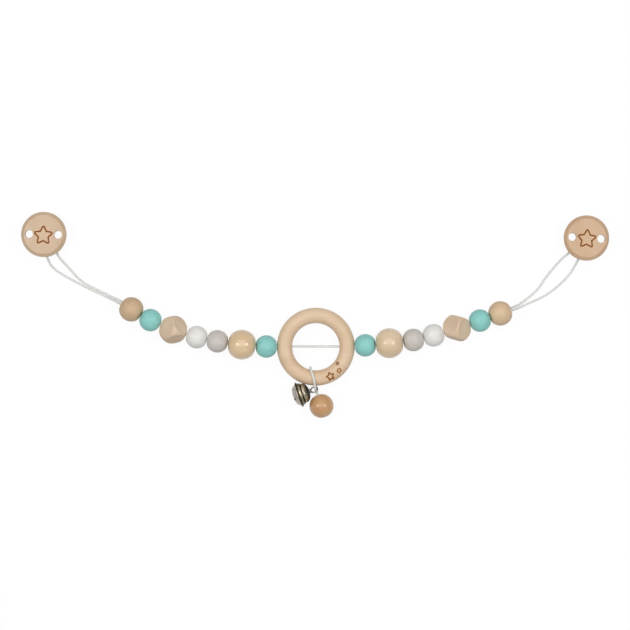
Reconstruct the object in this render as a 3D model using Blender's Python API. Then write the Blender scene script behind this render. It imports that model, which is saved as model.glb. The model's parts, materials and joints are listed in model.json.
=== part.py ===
"""Pram chain toy: wooden beads on an elastic cord, a wooden ring with a bell and a bead on it, and a
round wooden clip at each end. It lies flat on a table, seen from above, at z = 0. Lengths below are in
millimetres and measured from the ring's centre; the row's origin is the middle of the object's box."""

import bpy
import bmesh
from math import acos, cos, degrees, pi, radians, sin, sqrt
from mathutils import Matrix, Vector

MM = 0.001

# Cord
CORD_D = 1.8
CORD_R = CORD_D / 2
CORD_GAP = 0.2
BORE_R = 1.5

# Beads, from the ring outwards. Each length is along the bore.
LEFT_GAP = 0.7
RIGHT_GAP = 0.39
RIGHT_START = 0.11
FLAT_R = 1.9
CONE = 30.0
BEAD_SIDES = 22
SMALL_R = 9.0
SMALL_LEN = 16.25
LARGE_R = 12.0
LARGE_LEN = 21.75
FACET_R = 11.45
FACET_LEN = 21.8
FACET_FLAT = 8.45
FACET_LEAN = 10.0
END_R = 9.75
END_LEN = 17.8
KINDS = ("mint", "large", "grey", "white", "facet", "mint", "end")
SIZES = {
    "mint": (SMALL_R, SMALL_LEN),
    "grey": (SMALL_R, SMALL_LEN),
    "white": (SMALL_R, SMALL_LEN),
    "large": (LARGE_R, LARGE_LEN),
    "facet": (FACET_R, FACET_LEN),
    "end": (END_R, END_LEN),
}
RIGHT_HEADINGS = (4.3, 5.7, 10.1, 15.8, 18.2, 18.2, 20.5)
LEFT_HEADINGS = (1.3, 6.5, 9.4, 13.4, 20.7, 26.0, 32.2)
RISES = (9.5, 1.4, -5.6, -0.6, 5.0, -5.9, -5.9)
RIGHT_FACET_ROLL = 173.0
LEFT_FACET_ROLL = 85.0

# The knot that the end bead hides
RECESS_R = 3.3
RECESS_DEEP = 6.6
KNOT_R = 2.8
KNOT_LEN = 5.2

# Ring
RING_R = 24.95
RING_WIDE = 12.3
RING_THICK = 11.0
RING_Z = 9.0
RING_SAG = 0.5

# Clips. u points from the disc's centre to its slot, v is to the right, and z is up.
LEFT_CLIP = (-216.6, 89.4)
RIGHT_CLIP = (215.5, 86.6)
LEFT_DOWN = -91.6
RIGHT_DOWN = -93.7
LEFT_EXIT = -70.0
RIGHT_EXIT = -124.0
DISC_R = 18.0
DISC_BACK = 10.0
DISC_TOP = 18.0
VENT_R = 3.2
VENT_AT = 11.5
PLATE_TOP = 9.7
PLATE_T = 1.0
SLOT_END_TOP = 6.7
PLATE_HALF = 7.8
BAR_OUT = 16.3
BAR_IN = 14.3
SLOT_IN = 8.7
SLOT_NEAR = 7.3
D_NEAR = 5.5
PIN_U = -8.5
PIN_Z = 4.7
PIN_R = 0.9
PIN_HOLE_R = 1.0
EAR_IN = 7.0
LEVER_T = 1.2
LEVER_HALF = 6.6
LEVER_END = 14.5
CHEEK_T = 0.8
TOOTH_R = 3.65
SCREW_U = 1.5
SCREW_V = 4.2

# Pendant
PEND_BEAD = (4.5, -47.2)
PEND_R = 9.7
PEND_LEN = 17.4
PEND_REACH = 9.54
PEND_TURN = 109.7
PEND_BORE_R = 2.3
BELL_AT = (-13.3, -38.2)
BELL_Z = 10.4
BELL_TURN = 18.5
BELL_TIP = 4.0
BELL_R = 8.75
BELL_WALL = 0.8
RIM_R = 10.1
LOWER_DEEP = 5.0
SLIT_TURN = 19
EYE_OFF = 12.65
EYE_R = 2.8
EYE_WIRE = 0.6
PELLET_R = 2.4

X_MID = (LEFT_CLIP[0] + RIGHT_CLIP[0]) / 2
Y_TOP = max(LEFT_CLIP[1], RIGHT_CLIP[1]) + DISC_R
Y_BOTTOM = PEND_BEAD[1] - PEND_REACH
Y_MID = (Y_TOP + Y_BOTTOM) / 2

for old in list(bpy.data.objects):
    bpy.data.objects.remove(old, do_unlink=True)


def material(name, colour, rough, metal=0.0):
    """One plain surface for one kind of piece."""
    made = bpy.data.materials.new(name)
    made.use_nodes = True
    made.diffuse_color = (*colour, 1.0)
    shader = made.node_tree.nodes["Principled BSDF"]
    shader.inputs["Base Color"].default_value = (*colour, 1.0)
    shader.inputs["Roughness"].default_value = rough
    shader.inputs["Metallic"].default_value = metal
    return made


LOOKS = {
    "mint": material("mint_wood", (0.28, 0.61, 0.60), 0.45),
    "grey": material("grey_wood", (0.58, 0.54, 0.50), 0.45),
    "white": material("white_wood", (0.77, 0.78, 0.75), 0.45),
    "large": material("beech_large", (0.74, 0.57, 0.37), 0.35),
    "facet": material("beech_facet", (0.59, 0.47, 0.34), 0.5),
    "end": material("beech_end", (0.62, 0.45, 0.29), 0.5),
    "ring": material("beech_ring", (0.73, 0.54, 0.37), 0.35),
    "disc": material("beech_disc", (0.66, 0.50, 0.36), 0.4),
    "pendant": material("beech_pendant", (0.61, 0.37, 0.21), 0.35),
    "steel": material("steel", (0.62, 0.62, 0.62), 0.3, 1.0),
    "bell": material("bell_metal", (0.35, 0.33, 0.31), 0.25, 1.0),
    "insert": material("clip_insert", (0.85, 0.85, 0.83), 0.5),
    "cord": material("elastic_cord", (0.78, 0.78, 0.76), 0.8),
}


def row(x, y, z):
    """A point given from the ring's centre, in the row's frame and in metres."""
    return Vector((x - X_MID, y - Y_MID, z)) * MM


def frame_of(origin, forward, up=(0, 0, 1)):
    """A frame at a point in millimetres from the ring's centre, with its Z along forward."""
    z = Vector(forward).normalized()
    x = (Vector(up) - Vector(up).dot(z) * z).normalized()
    y = z.cross(x)
    turn = Matrix((x, y, z)).transposed().to_4x4()
    return Matrix.Translation(row(*origin)) @ turn


def place(name, mesh, matrix, look):
    thing = bpy.data.objects.new(name, mesh)
    bpy.context.scene.collection.objects.link(thing)
    thing.matrix_world = matrix
    if look:
        thing.data.materials.append(LOOKS[look])
    return thing


def mesh_of(name, shape):
    bmesh.ops.recalc_face_normals(shape, faces=shape.faces)
    mesh = bpy.data.meshes.new(name)
    for corner in shape.verts:
        corner.co *= MM
    shape.to_mesh(mesh)
    shape.free()
    return mesh


def lathe_shape(profile, segments, closed, start=0.0):
    """A profile of (distance from Z, z) turned round Z. A closed profile goes round a bore; an open one
    starts and ends on the axis."""
    shape = bmesh.new()
    rows = []
    for far, z in profile:
        if far < 1e-6:
            rows.append([shape.verts.new((0, 0, z))])
            continue
        ring = []
        for step in range(segments):
            a = 2 * pi * (step + start) / segments
            ring.append(shape.verts.new((far * cos(a), far * sin(a), z)))
        rows.append(ring)
    pairs = list(zip(rows, rows[1:]))
    if closed:
        pairs.append((rows[-1], rows[0]))
    for one, two in pairs:
        for step in range(segments):
            after = (step + 1) % segments
            if len(one) == 1:
                shape.faces.new((one[0], two[step], two[after]))
            elif len(two) == 1:
                shape.faces.new((one[after], one[step], two[0]))
            else:
                shape.faces.new((one[step], one[after], two[after], two[step]))
    return shape


def lathe(name, profile, segments, closed, matrix, look, start=0.0):
    return place(name, mesh_of(name, lathe_shape(profile, segments, closed, start)), matrix, look)


def prism_shape(outline, low, high):
    """An outline of (x, y) pairs, pushed along Z."""
    shape = bmesh.new()
    under = [shape.verts.new((x, y, low)) for x, y in outline]
    over = [shape.verts.new((x, y, high)) for x, y in outline]
    shape.faces.new(under[::-1])
    shape.faces.new(over)
    for step in range(len(outline)):
        after = (step + 1) % len(outline)
        shape.faces.new((under[step], under[after], over[after], over[step]))
    return shape


def prism(name, outline, low, high, matrix, look):
    return place(name, mesh_of(name, prism_shape(outline, low, high)), matrix, look)


def hide(thing):
    thing.hide_render = True
    thing.display_type = "WIRE"
    return thing


def boolean(target, other, kind):
    """Cuts a helper from a piece, or joins it to the piece, and hides the helper."""
    step = target.modifiers.new(kind.lower() + "_" + other.name, "BOOLEAN")
    step.operation = kind
    step.solver = "EXACT"
    step.object = hide(other)


def rod(name, radius, low, high, matrix, segments=16):
    profile = ((0, low), (radius, low), (radius, high), (0, high))
    return lathe(name, profile, segments, False, matrix, None, 0.37)


def arc(radius, start, end, count, at=(0, 0)):
    """Points on a circle, from one angle to another, in degrees."""
    found = []
    for step in range(count + 1):
        a = radians(start + (end - start) * step / count)
        found.append((at[0] + radius * cos(a), at[1] + radius * sin(a)))
    return found


def smooth_line(points, step):
    """Points about step apart along a curve that runs through the given points."""
    known = [Vector(p) for p in points]
    known = [2 * known[0] - known[1]] + known + [2 * known[-1] - known[-2]]
    fine = []
    for i in range(1, len(known) - 2):
        a, b, c, d = known[i - 1 : i + 3]
        ta = (b - a).length ** 0.5
        tb = (c - b).length ** 0.5
        tc = (d - c).length ** 0.5
        first = (b - a) / ta - (c - a) / (ta + tb) + (c - b) / tb
        last = (c - b) / tb - (d - b) / (tb + tc) + (d - c) / tc
        first *= tb
        last *= tb
        for k in range(24):
            t = k / 24
            fine.append(
                (2 * t**3 - 3 * t**2 + 1) * b
                + (t**3 - 2 * t**2 + t) * first
                + (3 * t**2 - 2 * t**3) * c
                + (t**3 - t**2) * last
            )
    fine.append(known[-2])
    along = [0.0]
    for one, two in zip(fine, fine[1:]):
        along.append(along[-1] + (two - one).length)
    count = max(2, round(along[-1] / step))
    found = []
    at = 0
    for k in range(count + 1):
        want = along[-1] * k / count
        while at < len(along) - 2 and along[at + 1] < want:
            at += 1
        share = (want - along[at]) / (along[at + 1] - along[at])
        found.append(fine[at].lerp(fine[at + 1], share))
    return found


def cord(name, points, origin, step):
    """A free length of the elastic, as a round tube along a route."""
    line = smooth_line(points, step)
    curve = bpy.data.curves.new(name, "CURVE")
    curve.dimensions = "3D"
    curve.bevel_depth = CORD_R * MM
    curve.bevel_resolution = 2
    curve.use_fill_caps = True
    spline = curve.splines.new("POLY")
    spline.points.add(len(line) - 1)
    start = row(*origin)
    for point, at in zip(spline.points, line):
        point.co = (*(row(*at) - start), 1.0)
    return place(name, curve, Matrix.Translation(start), "cord")


def bead_profile(radius, length, bore=BORE_R, flat=FLAT_R, rows=8, recess=None):
    """Half the section of a ball whose ends are worn down to shallow cones, with flat mouths."""
    half = length / 2
    edge = radians(CONE)
    profile = [(flat, half)]
    for step in range(rows + 1):
        a = edge + (pi - 2 * edge) * step / rows
        profile.append((radius * sin(a), radius * cos(a)))
    profile.append((flat, -half))
    if recess:
        wide, deep = recess
        # The outer mouth is at +Z, and the knot's recess opens there.
        far, low = profile[1]
        lip = wide + 0.35
        cap = half + (low - half) * (lip - flat) / (far - flat)
        inner = [(bore, -half), (bore, half - deep), (wide, half - deep), (wide, cap)]
        return [(lip, cap)] + profile[1:] + inner
    return profile + [(bore, -half), (bore, half)]


def headings_to(side, heading, rise):
    a = radians(heading)
    b = radians(rise)
    return Vector((side * cos(a) * cos(b), sin(a) * cos(b), sin(b)))


def facet_bead(name, side, forward, centre, roll):
    """A round bead with six flats, like a cube's faces, drilled about from corner to corner."""
    shape = lathe_shape(bead_profile(FACET_R, FACET_LEN, rows=9), BEAD_SIDES, True)
    tilt = acos(1 / sqrt(3))
    # The cube's corner leans down from the bore's outer end.
    lean = Matrix.Rotation(radians(-FACET_LEAN), 3, "Y")
    for end in (1, -1):
        for k in range(3):
            a = radians(roll + 120 * k) + side * pi / 2 + (pi if end < 0 else 0)
            normal = Vector((sin(tilt) * cos(a), sin(tilt) * sin(a), end * cos(tilt)))
            normal.rotate(lean)
            cut = bmesh.ops.bisect_plane(
                shape,
                geom=shape.verts[:] + shape.edges[:] + shape.faces[:],
                plane_co=normal * FACET_FLAT,
                plane_no=normal,
                clear_outer=True,
            )
            edges = [e for e in cut["geom_cut"] if isinstance(e, bmesh.types.BMEdge)]
            bmesh.ops.contextual_create(shape, geom=edges)
    return place(name, mesh_of(name, shape), frame_of(centre, forward), "facet")


def chain(word, side, gap, headings, roll):
    """The beads of one side and the cord inside them. It gives the outer mouth and the last heading."""
    at = Vector((side * (RING_R + RING_WIDE / 2), 0.5 if side > 0 else 0.0, RING_Z))
    at.x += RIGHT_START if side > 0 else 0.0
    for number, kind in enumerate(KINDS, 1):
        radius, length = SIZES[kind]
        pitch = length + gap
        forward = headings_to(side, headings[number - 1], RISES[number - 1])
        centre = at + forward * pitch / 2
        name = f"{word}_bead_{number}_{kind}"
        cord_end = pitch - CORD_GAP
        if kind == "facet":
            facet_bead(name, side, forward, centre, roll)
        elif kind == "end":
            profile = bead_profile(radius, length, rows=9, recess=(RECESS_R, RECESS_DEEP))
            lathe(name, profile, BEAD_SIDES, True, frame_of(centre, forward), kind)
            cord_end = pitch / 2 + length / 2 - RECESS_DEEP + 0.1
            knot_low = length / 2 - RECESS_DEEP + 0.4
            knot = [(0, knot_low)]
            for step in range(1, 8):
                a = pi * step / 8
                knot.append((KNOT_R * sin(a) ** 0.7, knot_low + KNOT_LEN * (1 - cos(a)) / 2))
            knot.append((0, knot_low + KNOT_LEN))
            lathe(f"{word}_knot", knot, 14, False, frame_of(centre, forward), "cord")
        else:
            rows = 10 if kind == "large" else 8
            profile = bead_profile(radius, length, rows=rows)
            lathe(name, profile, BEAD_SIDES, True, frame_of(centre, forward), kind)
        inside = (
            (0, CORD_GAP),
            (CORD_R, CORD_GAP),
            (CORD_R, cord_end),
            (0, cord_end),
        )
        lathe(f"{word}_cord_{number}", inside, 12, False, frame_of(at, forward), "cord")
        last = centre
        at = at + forward * pitch
    mouth = last + forward * END_LEN / 2
    return mouth, forward


def ring():
    """The teething ring, with one bore through it from side to side for the elastic."""
    shape = bmesh.new()
    rows = []
    around, across = 48, 14
    for i in range(around):
        a = 2 * pi * (i + 0.5) / around
        row_ = []
        for k in range(across):
            b = 2 * pi * k / across
            far = RING_R + RING_WIDE / 2 * cos(b)
            z = RING_THICK / 2 * sin(b)
            row_.append(shape.verts.new((far * cos(a), far * sin(a), z)))
        rows.append(row_)
    for i in range(around):
        for k in range(across):
            here, there = rows[i], rows[(i + 1) % around]
            after = (k + 1) % across
            shape.faces.new((here[k], there[k], there[after], here[after]))
    made = place("ring", mesh_of("ring", shape), Matrix.Translation(row(0, 0, RING_Z)), "ring")
    across_ring = frame_of((0, 0.25, RING_Z), (1, 0, 0))
    boolean(made, rod("ring_bore", BORE_R, -40, 40, across_ring, 12), "DIFFERENCE")
    reach = RING_R + RING_WIDE / 2 - CORD_GAP
    hole = RING_R - RING_WIDE / 2
    low = RING_Z - RING_SAG
    route = (
        (-reach, 0.25, RING_Z),
        (-hole - 3, 0.25, RING_Z),
        (-hole * 0.5, 0.25, low + 0.1),
        (0, 0.25, low),
        (hole * 0.5, 0.25, low + 0.1),
        (hole + 3, 0.25, RING_Z),
        (reach, 0.25, RING_Z),
    )
    cord("cord_centre", route, (0, 0.25, RING_Z), 4.4)


def clip(word, centre, down):
    """A domed wooden disc with a steel clip on its back."""
    a = radians(down)
    # Local X is u, local Y is v, local Z is up.
    turn = Matrix.Rotation(a, 4, "Z")
    base = Matrix.Translation(row(centre[0], centre[1], 0)) @ turn
    rim = (
        (0, DISC_BACK),
        (16.8, DISC_BACK),
        (17.7, DISC_BACK + 0.5),
        (DISC_R, DISC_BACK + 1.6),
        (DISC_R, DISC_TOP - 3.8),
        (17.6, DISC_TOP - 2.4),
        (16.5, DISC_TOP - 1.3),
        (13.6, DISC_TOP - 0.6),
        (8.0, DISC_TOP - 0.15),
        (0, DISC_TOP),
    )
    disc = lathe(f"{word}_disc", rim, 44, False, base, "disc")
    for k, v in enumerate((-VENT_AT, VENT_AT)):
        spot = base @ Matrix.Translation(Vector((0, v, 0)) * MM)
        boolean(disc, rod(f"{word}_vent_{k}", VENT_R, 8, 20, spot, 20), "DIFFERENCE")
    # The steel plate: a flat back, an end with a curved slot for the cord, and two ears for the pin.
    low = PLATE_TOP - PLATE_T
    outline = (
        (-13.5, -6.2),
        (-11.5, -PLATE_HALF),
        (6.5, -PLATE_HALF),
        (6.5, PLATE_HALF),
        (-11.5, PLATE_HALF),
        (-13.5, 6.2),
    )
    plate = prism(f"{word}_plate", outline, low, PLATE_TOP, base, "steel")
    step = ((D_NEAR, -6), (D_NEAR + 1, -6), (D_NEAR + 1, 6), (D_NEAR, 6))
    slot_low = SLOT_END_TOP - PLATE_T
    boolean(plate, prism(f"{word}_step", step, slot_low + 0.3, PLATE_TOP - 0.3, base, None), "UNION")
    wide = degrees(acos(D_NEAR / BAR_OUT))
    d_outline = arc(BAR_OUT, -wide, wide, 20)
    d_end = prism(f"{word}_slot_end", d_outline, slot_low, SLOT_END_TOP, base, None)
    reach = degrees(acos(SLOT_NEAR / BAR_IN))
    near = degrees(acos(SLOT_NEAR / SLOT_IN))
    slot = arc(BAR_IN, -reach, reach, 18) + arc(SLOT_IN, near, -near, 8)
    boolean(d_end, prism(f"{word}_slot", slot, slot_low - 2, SLOT_END_TOP + 2, base, None), "DIFFERENCE")
    boolean(plate, d_end, "UNION")
    ear = [(PIN_U - 3.8, PLATE_TOP - 0.2), (PIN_U - 2.6, PIN_Z)]
    ear += arc(2.6, 200, 340, 6, (PIN_U, PIN_Z))
    ear += [(PIN_U + 2.6, PIN_Z), (PIN_U + 3.8, PLATE_TOP - 0.2)]
    # Local X of an upright outline is u and its local Y is z; it is pushed along -v.
    upright = base @ Matrix.Rotation(pi / 2, 4, "X")
    for k, side in enumerate((-1, 1)):
        one, two = sorted((-side * EAR_IN, -side * PLATE_HALF))
        boolean(plate, prism(f"{word}_ear_{k}", ear, one, two, upright, None), "UNION")
    on_pin = upright @ Matrix.Translation(Vector((PIN_U, PIN_Z, 0)) * MM)
    boolean(plate, rod(f"{word}_ear_hole", PIN_HOLE_R, -12, 12, on_pin, 16), "DIFFERENCE")
    for k, v in enumerate((-SCREW_V, SCREW_V)):
        spot = base @ Matrix.Translation(Vector((SCREW_U, v, 0)) * MM)
        boolean(plate, rod(f"{word}_plate_hole_{k}", 1.3, 7.8, 10.5, spot, 12), "DIFFERENCE")
        boolean(disc, rod(f"{word}_pilot_{k}", 1.2, 9, 15.0, spot, 12), "DIFFERENCE")
        screw = (
            (0, low - 1.3),
            (1.3, low - 1.25),
            (2.0, low - 0.7),
            (2.0, low - 0.3),
            (0.9, low - 0.3),
            (0.9, 13.6),
            (0, 14.5),
        )
        lathe(f"{word}_screw_{k + 1}", screw, 12, False, spot, "steel")
    pin = (
        (0, -9.0),
        (0.9, -8.9),
        (1.6, -8.4),
        (1.6, -8.1),
        (PIN_R, -8.1),
        (PIN_R, 8.1),
        (1.6, 8.1),
        (1.6, 8.4),
        (0.9, 8.9),
        (0, 9.0),
    )
    lathe(f"{word}_pin", pin, 16, False, on_pin, "steel")
    # The lever, closed. It turns about the pin, away from the disc.
    to_pin = Matrix.Translation(Vector((-PIN_U, -PIN_Z, 0)) * MM)
    finger = [(PIN_U - 1.9, -LEVER_HALF)]
    finger += arc(LEVER_HALF, -90, 90, 12, (LEVER_END - LEVER_HALF, 0))
    finger += [(PIN_U - 1.9, LEVER_HALF)]
    flat = on_pin @ to_pin @ Matrix.Rotation(-pi / 2, 4, "X")
    lever_mesh = mesh_of(f"{word}_lever", prism_shape(finger, 0, LEVER_T))
    lever_mesh.transform(on_pin.inverted() @ flat)
    lever = place(f"{word}_lever", lever_mesh, on_pin, "steel")
    cheek = [(PIN_U - 2.5, 0.6), (PIN_U - 2.3, PIN_Z)]
    cheek += arc(2.3, 160, 20, 6, (PIN_U, PIN_Z))
    cheek += [(PIN_U + 2.3, PIN_Z), (PIN_U + 6.0, 0.6)]
    for k, side in enumerate((-1, 1)):
        one, two = sorted((-side * LEVER_HALF, -side * (LEVER_HALF - CHEEK_T)))
        boolean(lever, prism(f"{word}_cheek_{k}", cheek, one, two, upright, None), "UNION")
    boolean(lever, rod(f"{word}_cheek_hole", PIN_HOLE_R, -12, 12, on_pin, 16), "DIFFERENCE")
    # The toothed insert that presses cloth against the plate.
    teeth = []
    for k in range(9):
        far = TOOTH_R if k % 2 == 0 else TOOTH_R - 0.6
        b = radians(70 + 10 * k)
        teeth.append((far * cos(b), far * sin(b)))
    tail = arc(2.0, 172, 245, 5)
    foot = [(-1.5, -3.2), (5.5, -3.2), (5.5, -2.0), (2.4, 0.2), (2.2, 1.8)]
    insert = prism(f"{word}_insert", teeth + tail + foot, -5.5, 5.5, on_pin, "insert")
    boolean(insert, rod(f"{word}_insert_hole", PIN_HOLE_R, -12, 12, on_pin, 16), "DIFFERENCE")


def loop_route(mouth, forward, side, centre, exit_turn, half, first, second):
    """The doubled elastic, from the end bead to the clip's bar and back."""
    across = Vector((-forward.y, forward.x, 0)).normalized() * side
    out = Vector((forward.x, forward.y, 0)).normalized()
    a = radians(exit_turn)
    u = Vector((cos(a), sin(a), 0))
    v = Vector((-sin(a), cos(a), 0)) * (1 if side < 0 else -1)
    hub = Vector((centre[0], centre[1], 0))
    table = CORD_R + 0.2
    knot_gap = 0.55
    one = []
    for way, strand in ((1, first), (-1, second)):
        start = mouth + across * way * 1.08 + out * (knot_gap - 1.0)
        start.z = mouth.z
        points = [start, start + out * 3.0]
        points[1].z = mouth.z - 0.5
        for x, y, z in strand:
            points.append(Vector((x, y, table + z)))
        one.append(points)
    over = [
        hub + u * 17.6 + v * half + Vector((0, 0, 7.6)),
        hub + u * 15.0 + v * half + Vector((0, 0, 8.1)),
    ]
    under = [
        hub + u * 17.6 - v * half + Vector((0, 0, 4.0)),
        hub + u * 15.0 - v * half + Vector((0, 0, 4.4)),
    ]
    turn = []
    for k, z in ((35, 7.95), (65, 7.3), (90, 6.25), (115, 5.2), (145, 4.55)):
        b = radians(k)
        turn.append(hub + u * (15.0 - half * sin(b)) + v * half * cos(b) + Vector((0, 0, z)))
    return one[0] + over + turn + under[::-1] + one[1][::-1]


def free_loop(word, side, mouth, forward, centre, exit_turn, half, first, second):
    route = loop_route(mouth, forward, side, centre, exit_turn, half, first, second)
    cord(f"{word}_loop", route, mouth, 3.7)


def pendant():
    """The bell and the bead that hang from the ring on their own loop of elastic."""
    a = radians(PEND_TURN)
    toward = Vector((cos(a), sin(a), 0))
    centre = Vector((PEND_BEAD[0], PEND_BEAD[1], PEND_R + 0.05))
    half = PEND_LEN / 2
    profile = bead_profile(PEND_R, PEND_LEN, PEND_BORE_R, PEND_BORE_R + 0.4, 10, (RECESS_R, 7.0))
    lathe("pendant_bead", profile, 24, True, frame_of(centre, -toward), "pendant")
    # The knot sits in the bead's lower end, which is at +Z of its frame.
    low = half - 7.0 + 0.4
    knot = [(0, low)]
    for step in range(1, 8):
        b = pi * step / 8
        knot.append((KNOT_R * sin(b) ** 0.7, low + 5.6 * (1 - cos(b)) / 2))
    knot.append((0, low + 5.6))
    lathe("pendant_knot", knot, 14, False, frame_of(centre, -toward), "cord")
    start = centre - toward * (low - 0.75)
    top = centre + toward * half
    lift = Vector((0, 0, 1.05))
    tube = RING_Z + RING_THICK / 2 + CORD_R + 0.6
    under = RING_Z - RING_THICK / 2 - CORD_R - 0.6
    route = (
        start + lift,
        centre + lift,
        top + lift,
        Vector((-0.25, -34.2, 11.9)),
        Vector((-0.8, -30.5, 14.6)),
        Vector((-1.7, -25.4, tube)),
        Vector((-3.4, -20.2, tube - 1.5)),
        Vector((-4.3, -16.9, RING_Z + 1.5)),
        Vector((-4.3, -16.7, RING_Z - 1.5)),
        Vector((-3.6, -20.2, under + 1.5)),
        Vector((-2.0, -25.4, under)),
        Vector((-0.4, -30.6, under + 1.3)),
        Vector((0.6, -34.8, 6.0)),
        top - lift,
        centre - lift,
        start - lift,
    )
    cord("pendant_loop", route, (0, -RING_R, RING_Z), 3.6)
    # Bell. Its axis runs from the rim to the eye.
    a = radians(BELL_TURN)
    b = radians(BELL_TIP)
    axis = Vector((cos(a) * cos(b), sin(a) * cos(b), sin(b)))
    rim = Vector((BELL_AT[0], BELL_AT[1], BELL_Z))
    bell = frame_of(rim, axis)
    upper = [(RIM_R, 0.15), (RIM_R, 0.75), (BELL_R + 0.3, 0.75)]
    inner = []
    for step in range(8):
        c = radians(5 + 83 * step / 7)
        ridge = 0.35 if step == 3 else 0.0
        upper.append(((BELL_R + ridge) * cos(c), 0.15 + (BELL_R + ridge) * sin(c)))
        inner.append(((BELL_R - BELL_WALL) * cos(c), 0.15 + (BELL_R - BELL_WALL) * sin(c)))
    upper.append((0, 0.15 + BELL_R))
    inner.append((0, 0.15 + BELL_R - BELL_WALL))
    inner = [(BELL_R - BELL_WALL, 0.15)] + inner
    shell = [(0, 0.15 + BELL_R)] + upper[-2::-1] + inner[:-1] + [(0, 0.15 + BELL_R - BELL_WALL)]
    lathe("bell_upper", shell, 24, False, bell, "bell")
    lower = [(0, -0.15 - LOWER_DEEP)]
    for share in (0.3, 0.55, 0.75, 0.9):
        lower.append((BELL_R * share, -0.15 - LOWER_DEEP * sqrt(1 - share**2.4)))
    lower += [(BELL_R + 0.2, -0.75), (RIM_R, -0.75), (RIM_R, -0.15), (BELL_R - 0.7, -0.15)]
    for share in (0.9, 0.75, 0.55, 0.3):
        deep = (LOWER_DEEP - 0.7) * sqrt(1 - share**2.4)
        lower.append(((BELL_R - 0.7) * share, -0.15 - deep))
    lower.append((0, -0.15 - LOWER_DEEP + 0.7))
    dome = lathe("bell_lower", lower, 24, False, bell, "bell")
    bar = ((-6.8, -0.8), (6.8, -0.8), (6.8, 0.8), (-6.8, 0.8))
    for k in range(2):
        slit = bell @ Matrix.Rotation(radians(SLIT_TURN + 90 * k), 4, "Z")
        boolean(dome, prism(f"bell_slit_{k}", bar, -8, -0.9, slit, None), "DIFFERENCE")
    eye_at = rim + axis * EYE_OFF
    side = Vector((-sin(a), cos(a), 0))
    level = axis.cross(side).normalized()
    around = (side + level).normalized()
    shape = bmesh.new()
    rows = []
    for i in range(20):
        c = 2 * pi * i / 20
        line = []
        for k in range(8):
            d = 2 * pi * k / 8
            far = EYE_R + EYE_WIRE * cos(d)
            line.append(shape.verts.new((far * cos(c), far * sin(c), EYE_WIRE * sin(d))))
        rows.append(line)
    for i in range(20):
        for k in range(8):
            here, there = rows[i], rows[(i + 1) % 20]
            after = (k + 1) % 8
            shape.faces.new((here[k], there[k], there[after], here[after]))
    eye_frame = frame_of(eye_at, around, axis)
    eye = place("bell_eye", mesh_of("bell_eye", shape), eye_frame, "bell")
    foot = ((0, 9.25), (2.1, 9.25), (2.1, 9.65), (0.9, 10.1), (0, 10.2))
    boolean(eye, lathe("bell_eye_foot", foot, 16, False, bell, None), "UNION")
    ball = [(0, -PELLET_R)]
    for step in range(1, 8):
        c = pi * step / 8
        ball.append((PELLET_R * sin(c), -PELLET_R * cos(c)))
    ball.append((0, PELLET_R))
    at = bell @ Matrix.Translation(Vector((-4.2, 0, 1.2)) * MM)
    lathe("bell_pellet", ball, 14, False, at, "steel")


ring()
RIGHT_MOUTH, RIGHT_FORWARD = chain("right", 1, RIGHT_GAP, RIGHT_HEADINGS, RIGHT_FACET_ROLL)
LEFT_MOUTH, LEFT_FORWARD = chain("left", -1, LEFT_GAP, LEFT_HEADINGS, LEFT_FACET_ROLL)
clip("left", LEFT_CLIP, LEFT_DOWN)
clip("right", RIGHT_CLIP, RIGHT_DOWN)

# The strands' routes, from the end bead out to the clip, with the height above the table. The first is
# the upper strand of each side.
LEFT_UPPER = (
    (-161.8, 39.2, 4.4),
    (-168.7, 42.5, 1.4),
    (-175.5, 45.7, 0.0),
    (-182.2, 49.0, 0.0),
    (-186.4, 51.6, 0.0),
    (-190.8, 55.4, 0.0),
    (-196.0, 61.0, 0.0),
    (-200.7, 66.3, 1.2),
    (-204.6, 70.7, 4.0),
)
LEFT_LOWER = (
    (-162.1, 37.3, 4.2),
    (-169.1, 40.6, 1.4),
    (-176.0, 43.8, 0.0),
    (-182.8, 47.0, 0.0),
    (-188.4, 49.9, 0.0),
    (-195.2, 53.4, 0.0),
    (-202.8, 57.7, 0.0),
    (-208.4, 61.5, 0.0),
    (-212.5, 65.8, 0.8),
)
RIGHT_UPPER = (
    (162.1, 33.5, 4.6),
    (167.7, 37.3, 1.6),
    (173.9, 42.3, 0.0),
    (178.9, 47.5, 0.0),
    (182.9, 53.5, 0.0),
    (188.1, 60.2, 0.0),
    (193.0, 66.1, 1.2),
    (197.6, 71.0, 4.0),
)
RIGHT_LOWER = (
    (162.0, 30.9, 4.3),
    (168.2, 33.7, 1.5),
    (175.5, 36.9, 0.0),
    (183.5, 40.9, 0.0),
    (191.5, 46.5, 0.0),
    (199.5, 53.8, 0.0),
    (205.3, 61.0, 0.8),
)
free_loop("left", -1, LEFT_MOUTH, LEFT_FORWARD, LEFT_CLIP, LEFT_EXIT, 4.4, LEFT_UPPER, LEFT_LOWER)
free_loop("right", 1, RIGHT_MOUTH, RIGHT_FORWARD, RIGHT_CLIP, RIGHT_EXIT, 4.8, RIGHT_UPPER, RIGHT_LOWER)
pendant()
bpy.context.view_layer.update()
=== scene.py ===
"""Looks of the pram chain toy: turned and painted wood, round braided elastic, nickel-plated clips
and bell, burnt star outlines, and the studio that it is photographed in from straight above.
Lengths are in millimetres from the ring's centre, as in the part's source, and row() turns them
into the row's frame, which has its origin in the middle of the whole part."""

import json
from math import acos, cos, pi, radians, sin, sqrt

import bmesh
import bpy
import numpy as np
from mathutils import Matrix, Vector


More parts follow.
